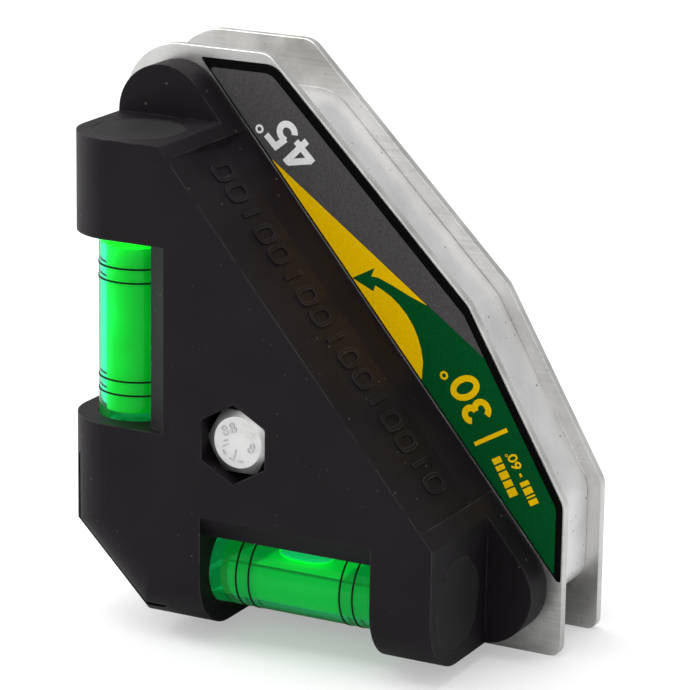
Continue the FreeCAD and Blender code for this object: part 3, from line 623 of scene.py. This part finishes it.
# stroke lines of the figures, in a box one unit high
FIGURES = {
    "0": [(arc((0.33, 0.5), (0.27, 0.405), 0, 345, 24), True)],
    "3": [(arc((0.33, 0.70), (0.20, 0.20), 160, -80, 15), False),
          (arc((0.33, 0.31), (0.235, 0.215), 80, -160, 16), False)],
    "4": [([(0.573, 0.0), (0.573, 1.0)], False), ([(0.0, 0.28), (0.79, 0.28)], False),
          ([(0.52, 0.93), (0.09, 0.31)], False)],
    "5": [([(0.60, 0.905), (0.155, 0.905), (0.105, 0.50)], False),
          (arc((0.21, 0.325), (0.255, 0.235), 122, -145, 18), False)],
    "6": [(arc((0.33, 0.31), (0.24, 0.22), 0, 345, 20), True),
          ([(0.11, 0.36), (0.18, 0.62), (0.46, 0.98)], False)],
    "8": [(arc((0.33, 0.29), (0.24, 0.20), 0, 345, 20), True),
          (arc((0.33, 0.71), (0.20, 0.20), 0, 345, 20), True)],
    ".": [([(0.25, 0.08), (0.41, 0.08)], False)],
    "o": [(arc((0.10, 0.96), (0.10, 0.10), 0, 345, 20), True)],
}


def figure_ribbons(figures, height, start, turned, stroke, thick):
    """Ribbons for a row of figures, each given with its place along the row. start is
    the row's lower left corner, turned the direction it runs in, and stroke half a
    line's width; places and stroke are shares of the height. Each ribbon is a little
    thicker than the one before, so that crossing ones do not share a face. o is a
    degree sign."""
    cosine, sine = np.cos(np.radians(turned)), np.sin(np.radians(turned))
    made = []
    for figure, at in figures:
        thin = 0.35 if figure == "o" else 1.0
        for line, shut in FIGURES[figure]:
            line = np.asarray(line, float) + (at, 0)
            grid = ribbon_points(line * height, stroke * thin * height,
                                 thick * (1 + 0.15 * (len(made) % 4)), shut)
            s, t = grid[..., 0].copy(), grid[..., 1].copy()
            grid[..., 0] = start[0] + s * cosine - t * sine
            grid[..., 1] = start[1] + s * sine + t * cosine
            made.append((grid, shut))
    return made


zinc = plated_steel("bright_zinc", rgb(0.84, 0.84, 0.83), rgb(0.62, 0.62, 0.61),
                    rgb(0.50, 0.50, 0.50), 0.42, 0.4)
bolt = link(bpy.data.objects.new("clamping_bolt", smooth_under(closed(
    grid_mesh("clamping_bolt", bolt_surface(), around=True)), 25.0)))
bolt.data.materials.append(zinc)
mount(bolt, "bolt_zinc", "hex_bolt")

# the strength grade, one more figure, three short arcs and three strokes
head_marks = (figure_ribbons((("8", 0.0), (".", 0.55), ("8", 0.85)), 2.3 * MM,
                             (-3.2 * MM, 0.7 * MM), 24, STAMP_STROKE, STAMP_HEIGHT)
              + figure_ribbons((("8", 0.0),), 2.2 * MM, (2.0 * MM, -1.6 * MM), -20,
                               STAMP_STROKE, STAMP_HEIGHT)
              + [(ribbon_points(arc((0, 0), (4.0 * MM, 4.0 * MM), a, a + 16, 4), 0.2 * MM,
                                STAMP_HEIGHT), False) for a in (-150, -120, -90)]
              + [(ribbon_points(np.array(line) * MM, 0.17 * MM, STAMP_HEIGHT), False)
                 for line in ([(-0.9, -3.6), (-0.4, -1.6)], [(-3.6, -1.4), (-2.2, -0.6)],
                              [(-3.3, -0.2), (-2.3, 0.2)])])
marks = link(bpy.data.objects.new("bolt_head_marks", ribbon_mesh(
    "bolt_head_marks", head_marks,
    lambda p: np.stack([BOLT_AXIS.x + p[:, 0], BOLT_LOW.y + HEAD_DISH - p[:, 2],
                        BOLT_AXIS.z + p[:, 1]], axis=1))))
marks.data.materials.append(plated_steel(
    "stamped_zinc", rgb(0.52, 0.53, 0.55), rgb(0.36, 0.37, 0.39), rgb(0.2, 0.2, 0.2),
    0.4, 0.4))
mount(marks, "bolt_zinc")

# ---- washer and lock nut ----------------------------------------------------
# Behind the rear plate the bolt takes a plain washer and a lock nut with a nylon
# ring; the nut's collar holds the ring.
for node, edge in (("rear_washer", 0.2 * MM), ("lock_nut", 0.25 * MM)):
    piece = rounded_copy(node, node + "_zinc", edge)
    piece.data.materials.append(zinc)
    mount(piece, "bolt_zinc", node)
nylon, shader = material("blue_nylon")
tree = nylon.node_tree
cloud = put(tree, "ShaderNodeTexNoise", {"Vector": object_place(tree), "Scale": 500.0})
tree.links.new(blend_colour(tree, cloud.outputs["Fac"], rgb(0.02, 0.07, 0.30),
                            rgb(0.03, 0.10, 0.40)), shader.inputs["Base Color"])
shader.inputs["Roughness"].default_value = 0.4
finish_nodes(nylon, "lock_nut_insert")

# ---- vials ------------------------------------------------------------------
# Each vial is a barrel of clear acrylic filled with green dyed spirit, with two
# pairs of thin black gauge rings round it and a cap in each end. The barrel,
# spirit, bubbles and caps are given a painted glow of their own, so the barrel is
# brighter than what lies behind it; the spirit's light and shade is painted too.
ACRYLIC, ACRYLIC_DEEP = rgb(0.05, 0.96, 0.52), rgb(0.03, 0.93, 0.44)
# painted glow of the clear barrel
ACRYLIC_PAINTED_GLOW = rgb(0.0, 0.40, 0.07)
# upright spirit: painted light on its left, a middle tone, painted shade on its right
UPRIGHT_LIT = rgb(0.02, 0.93, 0.36)
UPRIGHT_MIDDLE, UPRIGHT_SHADE = rgb(0.0, 0.58, 0.05), rgb(0.0, 0.27, 0.02)
# level spirit: painted lighter top surface, painted dark line at its rim, painted shade on
# its sides and towards its ends
LEVEL_LIT_TOP, LEVEL_SHADE_LINE = rgb(0.04, 0.66, 0.09), rgb(0.0, 0.15, 0.03)
LEVEL_SHADED_SIDE, LEVEL_SHADED_END = rgb(0.0, 0.37, 0.08), rgb(0.01, 0.28, 0.07)
SPIRIT_RADIUS, SPIRIT_HOLLOW, SPIRIT_LEVEL = 6.54 * MM, 6.12 * MM, 3.0 * MM
SPIRIT_END = 0.15 * MM
# the spirit's transmission, and the strength of its painted glow
UPRIGHT_CLEAR, LEVEL_CLEAR, UPRIGHT_PAINTED_GLOW, LEVEL_PAINTED_GLOW = 0.45, 0.2, 0.40, 0.50

acrylic, shader = material("clear_acrylic")
tree = acrylic.node_tree
haze = put(tree, "ShaderNodeTexNoise", {"Vector": object_place(tree), "Scale": 140.0,
                                        "Detail": 3.0})
tree.links.new(blend_colour(tree, haze.outputs["Fac"], ACRYLIC, ACRYLIC_DEEP),
               shader.inputs["Base Color"])
shader.inputs["Roughness"].default_value = 0.03
shader.inputs["IOR"].default_value = 1.25
shader.inputs["Specular IOR Level"].default_value = 0.22
shader.inputs["Transmission Weight"].default_value = 1.0
# the barrel's painted glow
shader.inputs["Emission Color"].default_value = ACRYLIC_PAINTED_GLOW
shader.inputs["Emission Strength"].default_value = 0.07


def glow(tree, shader, colour, strength):
    """The colour as the shader's base and as its own light, a painted glow."""
    tree.links.new(colour, shader.inputs["Base Color"])
    tree.links.new(colour, shader.inputs["Emission Color"])
    shader.inputs["Emission Strength"].default_value = strength


def vial_place(tree, kind):
    """x, y and z measured from the middle of the vial."""
    low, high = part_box(kind + "_vial_barrel")
    centred = put(tree, "ShaderNodeMapping", {"Vector": object_place(tree),
                                              "Location": tuple(-(low + high) / 2)})
    return put(tree, "ShaderNodeSeparateXYZ", {"Vector": centred.outputs[0]}).outputs


def spirit(name, kind):
    """Dyed spirit: a slightly clouded green with a painted glow. The upright one is painted
    lighter on its left side and darker on its right, as painted light and shade; the level
    one has a painted lighter surface, painted shade on its sides and towards its ends,
    and a painted dark line at its rim."""
    made, shader = material(name)
    tree = made.node_tree
    x, _, z = vial_place(tree, kind)
    cloud = put(tree, "ShaderNodeTexNoise", {"Vector": object_place(tree), "Scale": 70.0,
                                             "Detail": 2.0})
    drift = maths(tree, "MULTIPLY", maths(tree, "SUBTRACT", cloud.outputs["Fac"], 0.5), 0.5)
    if kind == "vertical":
        # painted light on the left side, painted shade on the right
        share = put(tree, "ShaderNodeMapRange", {"Value": x, "From Min": -0.0064,
                                                 "From Max": 0.0058}).outputs[0]
        ramp = put(tree, "ShaderNodeValToRGB", {"Fac": maths(tree, "ADD", share, drift,
                                                             clamp=True)})
        ramp.color_ramp.elements[0].color = UPRIGHT_LIT
        ramp.color_ramp.elements[1].color = UPRIGHT_SHADE
        ramp.color_ramp.elements.new(0.45).color = UPRIGHT_MIDDLE
        colour = ramp.outputs[0]
    else:
        # painted light and shade of the level spirit: a lighter top, darker sides, darker
        # towards both ends and a painted dark line at the surface's rim
        off = maths(tree, "ADD", maths(tree, "ABSOLUTE", x), maths(tree, "MULTIPLY", drift,
                                                                   0.012))
        middle = between(tree, off, 0.0085, 0.0105)
        surface = blend_colour(tree, middle, LEVEL_LIT_TOP, LEVEL_SHADED_END)
        side = blend_colour(tree, middle, LEVEL_SHADED_SIDE, LEVEL_SHADED_END)
        rim = blend_colour(tree, between(tree, z, 0.0022, 0.0026), side, LEVEL_SHADE_LINE)
        colour = blend_colour(tree, between(tree, z, 0.00285, 0.00295), rim, surface)
    upright = kind == "vertical"
    # painted glow of the spirit
    glow(tree, shader, colour, UPRIGHT_PAINTED_GLOW if upright else LEVEL_PAINTED_GLOW)
    shader.inputs["Roughness"].default_value = 0.25
    shader.inputs["IOR"].default_value = 1.05
    clear = shader.inputs["Transmission Weight"]
    clear.default_value = UPRIGHT_CLEAR if upright else LEVEL_CLEAR
    return made


def level_spirit():
    """The level vial's filling: a cylinder with a flat top. At an angle its height is
    the smaller of the circle's and the surface's, and towards each end its size
    falls with the fourth power of the way into the last two millimetres."""
    low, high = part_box("horizontal_vial_liquid")
    middle = (low + high) / 2
    along = np.linspace(low.x + SPIRIT_END, high.x - SPIRIT_END, 90)[:, None]
    deep = np.clip(1 - np.minimum(along - along[0], along[-1] - along) / (2 * MM), 0, 1)
    size = np.clip(1 - deep ** 4, 0.0, 1)
    angle = np.linspace(0, 2 * np.pi, 96, endpoint=False)
    y = SPIRIT_RADIUS * np.cos(angle) * size
    z = np.minimum(SPIRIT_RADIUS * np.sin(angle), SPIRIT_LEVEL) * size
    return np.stack([along + 0 * angle, middle.y + y, middle.z + z], axis=-1)


def upright_spirit():
    """The upright vial's filling round the way of its bubble: a tube, a ring of four
    corners (outer, outer, inner, inner) carried round the axis."""
    low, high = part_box("vertical_vial_liquid")
    middle = (low + high) / 2
    angle = np.linspace(0, 2 * np.pi, 96, endpoint=False)[:, None]
    radius = np.array([SPIRIT_RADIUS, SPIRIT_RADIUS, SPIRIT_HOLLOW, SPIRIT_HOLLOW])
    z = np.array([low.z + SPIRIT_END, high.z - SPIRIT_END, high.z - SPIRIT_END,
                  low.z + SPIRIT_END])
    return np.stack([middle.x + radius * np.cos(angle), middle.y + radius * np.sin(angle),
                     z + 0 * angle], axis=-1)


BUBBLE_HALF_LENGTH, BUBBLE_HALF_WIDTH, BUBBLE_BACKSET = 6.1 * MM, 3.4 * MM, 1.1 * MM
BUBBLE_CROWN, BUBBLE_FLOOR, BUBBLE_WAIST = 6.2 * MM, 3.12 * MM, 4.7 * MM


def level_bubble():
    """The level vial's bubble: a lens between the surface of the spirit and the bore.
    Its width falls with distance from the middle as a superellipse; above the waist
    each section rises to the bore's circle, and below it falls to the surface."""
    low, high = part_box("horizontal_vial_barrel")
    axis = (low + high) / 2
    low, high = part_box("horizontal_bubble")
    share = np.cos(np.linspace(np.pi, 0, 48))[:, None]
    size = np.clip(1 - np.abs(share) ** 2.6, 0, 1) ** 0.5
    angle = np.linspace(0, 2 * np.pi, 64, endpoint=False)
    y = BUBBLE_HALF_WIDTH * size * np.cos(angle)
    crown = np.sqrt(BUBBLE_CROWN ** 2 - y ** 2) - BUBBLE_WAIST
    height = np.where(np.sin(angle) > 0, crown, BUBBLE_WAIST - BUBBLE_FLOOR)
    z = BUBBLE_WAIST + height * size * np.sin(angle)
    middle = (low.x + high.x) / 2 - BUBBLE_BACKSET
    return np.stack([middle + BUBBLE_HALF_LENGTH * share + 0 * angle, axis.y + y,
                     axis.z + z], axis=-1)


def vial_piece(name, points, finish, slot, node, body="holder", **joined):
    mesh = smooth_under(closed(grid_mesh(name, points, **joined)), 40.0)
    piece = link(bpy.data.objects.new(name, mesh))
    piece.data.materials.append(finish)
    return mount(piece, slot, node, body=body)


# the level bubble is painted: a pale inside, a bright green painted rim where its surface
# turns away from view, and a painted glow
bubble_gas, shader = material("level_bubble_gas")
tree = bubble_gas.node_tree
facing = put(tree, "ShaderNodeLayerWeight", {"Blend": 0.35}).outputs["Facing"]
cloud = put(tree, "ShaderNodeTexNoise", {"Vector": object_place(tree), "Scale": 300.0})
pale = blend_colour(tree, cloud.outputs["Fac"], rgb(0.26, 0.52, 0.28),
                    rgb(0.36, 0.62, 0.38))
glow(tree, shader, blend_colour(tree, between(tree, facing, 0.25, 0.6), pale,
                                rgb(0.02, 1.0, 0.03)), 0.6)
shader.inputs["Roughness"].default_value = 0.08

# the upright vial's gas cap: bright green with a strong painted glow
gas_cap, shader = material("upright_bubble_gas")
tree = gas_cap.node_tree
cloud = put(tree, "ShaderNodeTexNoise", {"Vector": object_place(tree), "Scale": 200.0})
colour = blend_colour(tree, cloud.outputs["Fac"], rgb(0.0, 0.9, 0.01), rgb(0.03, 1.0, 0.03))
glow(tree, shader, colour, 1.6)
shader.inputs["Roughness"].default_value = 0.1

vial_piece("level_spirit", level_spirit(), spirit("level_dyed_spirit", "horizontal"),
           "vial_liquid", "horizontal_vial_liquid", around=True)
vial_piece("upright_spirit", upright_spirit(), spirit("upright_dyed_spirit", "vertical"),
           "vial_liquid", "vertical_vial_liquid", around=True, across=True)
vial_piece("level_bubble", level_bubble(), bubble_gas, "vial_bubble", "horizontal_bubble",
           body="horizontal_bubble", around=True)

ring_ink, shader = material("gauge_ring_ink")
tree = ring_ink.node_tree
cloud = put(tree, "ShaderNodeTexNoise", {"Vector": object_place(tree), "Scale": 800.0})
tree.links.new(blend_colour(tree, cloud.outputs["Fac"], rgb(0.003, 0.006, 0.004),
                            rgb(0.010, 0.018, 0.012)), shader.inputs["Base Color"])
shader.inputs["Roughness"].default_value = 0.6
shader.inputs["Specular IOR Level"].default_value = 0.05

# each cap has a pale flange a little over a millimetre thick at its outer end
CAP_FLANGE = 20.8 * MM
CAP_PALE, CAP_DEEP = rgb(0.75, 0.80, 0.70), rgb(0.0, 0.14, 0.018)
CAP_LIT = rgb(0.0, 1.0, 0.01)
for kind, part in (("vertical", 2), ("horizontal", 0)):
    made, shader = material(kind + "_cap_plastic")
    tree = made.node_tree
    out = maths(tree, "ABSOLUTE", vial_place(tree, kind)[part])
    cloud = put(tree, "ShaderNodeTexNoise", {"Vector": object_place(tree), "Scale": 260.0})
    deep = blend_colour(tree, cloud.outputs["Fac"], CAP_DEEP, rgb(0.0, 0.19, 0.028))
    if kind == "vertical":
        # the upright vial's upper cap is painted bright green, as painted light
        up = vial_place(tree, kind)[part]
        deep = blend_colour(tree, between(tree, up, 0.0, 0.001), deep, CAP_LIT)
    colour = blend_colour(tree, between(tree, out, CAP_FLANGE - 0.0001, CAP_FLANGE), deep,
                          CAP_PALE)
    # the caps' painted glow
    glow(tree, shader, colour, 0.5)
    shader.inputs["Roughness"].default_value = 0.35
    ends = ("lower", "upper") if part == 2 else ("left", "right")
    finish_nodes(acrylic, kind + "_vial_barrel")
    finish_nodes(ring_ink, kind + "_vial_rings")
    finish_nodes(made, *(f"{kind}_vial_{end}_cap" for end in ends))
finish_nodes(gas_cap, "vertical_bubble")

# ---- labels -----------------------------------------------------------------
# Printed sheets stuck to the plates: a black border round a grey field, a green
# field along the 30 degree edge and a yellow wedge with a curved arrow that
# points from one angle to the other, with the angles in figures.
FRONT_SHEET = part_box("front_label")[0].y
FIELD_THICK, WEDGE_THICK, ARROW_THICK, FIGURE_THICK = 0.03, 0.025, 0.015, 0.02
FIGURE_STROKE = 0.098


def print_ink(name, dark, light):
    """Printed ink: two close colours mixed by a fine grain, and a satin laminate."""
    made, shader = material(name)
    tree = made.node_tree
    grain = put(tree, "ShaderNodeTexNoise", {"Vector": object_place(tree), "Scale": 1800.0,
                                             "Detail": 2.0})
    tree.links.new(blend_colour(tree, between(tree, grain.outputs["Fac"], 0.3, 0.7), dark,
                                light), shader.inputs["Base Color"])
    shader.inputs["Roughness"].default_value = 0.55
    shader.inputs["Specular IOR Level"].default_value = 0.04
    return made


def rounded_outline(corners):
    """Outline through corners (s, t, radius): each rounded corner is an arc of that
    radius that touches both of its sides."""
    corners = np.array(corners, float)
    line = []
    before_each, after_each = np.roll(corners, 1, 0), np.roll(corners, -1, 0)
    for here, before, after in zip(corners, before_each, after_each):
        if here[2] <= 0:
            line.append(here[None, :2])
            continue
        back, on = before[:2] - here[:2], after[:2] - here[:2]
        back, on = back / np.linalg.norm(back), on / np.linalg.norm(on)
        half = np.arccos(np.clip(back @ on, -1, 1)) / 2
        reach, deep = here[2] / np.tan(half), here[2] / np.sin(half)
        middle = here[:2] + (back + on) / np.linalg.norm(back + on) * deep
        first, last = here[:2] + back * reach - middle, here[:2] + on * reach - middle
        share = np.linspace(0, 1, 9)[:, None]
        points = first * (1 - share) + last * share
        points *= here[2] / np.linalg.norm(points, axis=1, keepdims=True)
        line.append(middle + points)
    return np.concatenate(line)


def printed_field(name, outline, height, thick, ink, place):
    """A closed thin field: the outline at height and at height plus thick."""
    outline = np.asarray(outline, float)
    count = len(outline)
    low = np.hstack([outline, np.full((count, 1), height)])
    high = np.hstack([outline, np.full((count, 1), height + thick)])
    index = np.arange(count)
    sides = np.stack([index, np.roll(index, -1), np.roll(index, -1) + count,
                      index + count], axis=1)
    mesh = bpy.data.meshes.new(name)
    mesh.from_pydata(place(np.concatenate([low, high])).tolist(), [],
                     [index[::-1].tolist(), (index + count).tolist()] + sides.tolist())
    piece = link(bpy.data.objects.new(name, closed(mesh)))
    piece.data.materials.append(ink)
    return mount(piece, "label_print")


black_ink = print_ink("black_ink", rgb(0.0015, 0.0015, 0.0015), rgb(0.004, 0.004, 0.004))
grey_ink = print_ink("grey_ink", rgb(0.074, 0.070, 0.072), rgb(0.094, 0.090, 0.092))
green_ink = print_ink("green_ink", rgb(0.0003, 0.076, 0.016), rgb(0.0010, 0.092, 0.021))
yellow_ink = print_ink("yellow_ink", rgb(0.93, 0.56, 0.0), rgb(1.0, 0.63, 0.0))
white_ink = print_ink("light_grey_ink", rgb(0.86, 0.86, 0.86), rgb(0.96, 0.96, 0.96))


def on_front(points):
    """Millimetres on the front label, (x, z, height), as points of the holder."""
    return np.stack([points[:, 0] * MM, FRONT_SHEET - points[:, 2] * MM,
                     points[:, 1] * MM], axis=1)


finish_nodes(black_ink, "front_label", "rear_label")
WEDGE_FROM, WEDGE_TO = (-16.4, 96.24), (32.72, 60.92)
printed_field("front_grey_field", rounded_outline([
    (-31.25, 113.9, 0.5), (*WEDGE_FROM, 0), (*WEDGE_TO, 0), (27.99, 69.12, 4.0),
    (-16.79, 113.9, 4.0)]), 0, FIELD_THICK, grey_ink, on_front)
printed_field("front_green_field", rounded_outline([
    (19.9, 70.14, 0), (18.85, 54.2, 0), (49.6, 17.58, 0.2), (49.6, 31.69, 4.0),
    (*WEDGE_TO, 0)]), 0, FIELD_THICK, green_ink, on_front)
printed_field("front_yellow_wedge", rounded_outline([
    (*WEDGE_FROM, 0), (19.0, 54.1, 0), (19.6, 70.2, 0)]), 0, WEDGE_THICK, yellow_ink,
    on_front)
arrow_upper = [(6.9, 74.5), (8.6, 74.4), (11.8, 73.2), (16.0, 71.4), (19.9, 70.0)]
arrow_lower = [(19.1, 54.0), (19.2, 56.2), (19.05, 58.4), (18.6, 60.8), (17.8, 63.2),
               (16.7, 65.4), (15.2, 67.5), (13.5, 69.3), (11.6, 70.8), (9.7, 71.9),
               (7.9, 72.7)]
printed_field("front_arrow", [(2.6, 73.6), (7.7, 76.3), *arrow_upper, (20.6, 62.0),
                              *arrow_lower, (7.5, 71.4)], WEDGE_THICK, ARROW_THICK,
              green_ink, on_front)


def printed_figures(name, ribbons, ink, place):
    piece = link(bpy.data.objects.new(name, ribbon_mesh(name, ribbons, place)))
    piece.data.materials.append(ink)
    return mount(piece, "label_print")


def raised(ribbons, height):
    """The ribbons, lifted by height."""
    for grid, _ in ribbons:
        grid[..., 2] += height
    return ribbons


ALONG_45, ALONG_30 = 135, 120
FORTY_FIVE, THIRTY, SIXTY = ((("4", 0.0), ("5", 0.94), ("o", 1.69)),
                             (("3", 0.0), ("0", 0.78), ("o", 1.60)),
                             (("6", 0.0), ("0", 0.78), ("o", 1.60)))
printed_figures("front_45_figures", raised(figure_ribbons(
    FORTY_FIVE, 7.15, (-5.37, 98.0), ALONG_45, FIGURE_STROKE, FIGURE_THICK), FIELD_THICK),
    white_ink, on_front)
printed_figures("front_30_figures", raised(figure_ribbons(
    THIRTY, 6.9, (35.5, 49.1), ALONG_30, FIGURE_STROKE, FIGURE_THICK), FIELD_THICK),
    yellow_ink, on_front)


def along_30(near, far, level, tall):
    """A bar on the label that runs along the 30 degree side, from near to far, with
    its middle at level and a height of tall."""
    run = np.array([-np.sin(np.radians(30)), np.cos(np.radians(30))])
    up = np.array([-run[1], run[0]])
    return ribbon_points([run * near + up * level, run * far + up * level], tall / 2,
                         FIGURE_THICK)


small_print = [(along_30(20.75, 21.65, -52.35, 8.3), False)]
small_print += [(along_30(near, far, -51.3, 2.1), False) for near, far in (
    (8.3, 10.0), (10.4, 11.8), (12.2, 13.8), (14.2, 15.3), (15.7, 17.0))]
small_print += [(along_30(near, far, -54.8, 2.1), False) for near, far in (
    (5.1, 6.3), (6.7, 7.1), (7.5, 8.9), (9.3, 10.3))]
small_print += [(along_30(11.3, 12.1, -54.8, 0.5), False)]
small_print += figure_ribbons((("6", 0.0), ("0", 0.74), ("o", 1.42)), 2.3, (41.97, 39.26),
                              ALONG_30, 0.095, FIGURE_THICK)
printed_figures("front_small_print", raised(small_print, FIELD_THICK), yellow_ink,
                on_front)

# the rear label refers to the same two edges, seen from the other side
REAR_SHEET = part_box("rear_label")[1].y / MM


def on_rear(points):
    """Millimetres on the rear label, (x, z, height), as points of the holder."""
    return np.stack([points[:, 0], REAR_SHEET + points[:, 2], points[:, 1]], axis=1) * MM


REAR_KNEE = (26.4, 68.3)
printed_field("rear_grey_field", rounded_outline([
    (-47.3, 64.6, 0), (*REAR_KNEE, 0), (-17.9, 113.9, 3.0), (-38.5, 113.9, 9.0),
    (-47.3, 105.0, 3.0)]), 0, FIELD_THICK, grey_ink, on_rear)
printed_field("rear_green_field", rounded_outline([
    (47.4, 32.7, 3.0), (27.2, 67.6, 0), (16.5, 66.4, 0), (16.5, 4.1, 0), (46.0, 4.1, 1.5),
    (47.4, 5.5, 1.5)]), 0, FIELD_THICK, green_ink, on_rear)


def rear_figures(name, figures, height, middle, turned, ink):
    """Figures that read rightly from behind: the row is mirrored about its middle."""
    ribbons = figure_ribbons(figures, height, (-0.8 * height, -0.5 * height), 0,
                             FIGURE_STROKE, FIGURE_THICK)
    cosine, sine = np.cos(np.radians(turned)), np.sin(np.radians(turned))
    for grid, _ in ribbons:
        s, t = -grid[..., 0], grid[..., 1].copy()
        grid[..., 0] = middle[0] + s * cosine - t * sine
        grid[..., 1] = middle[1] + s * sine + t * cosine
    printed_figures(name, raised(ribbons, FIELD_THICK), ink, on_rear)


rear_figures("rear_45_figures", FORTY_FIVE, 8.0, (1.5, 87.0), -45, white_ink)
rear_figures("rear_60_figures", SIXTY, 8.0, (34.0, 47.0), -60, yellow_ink)
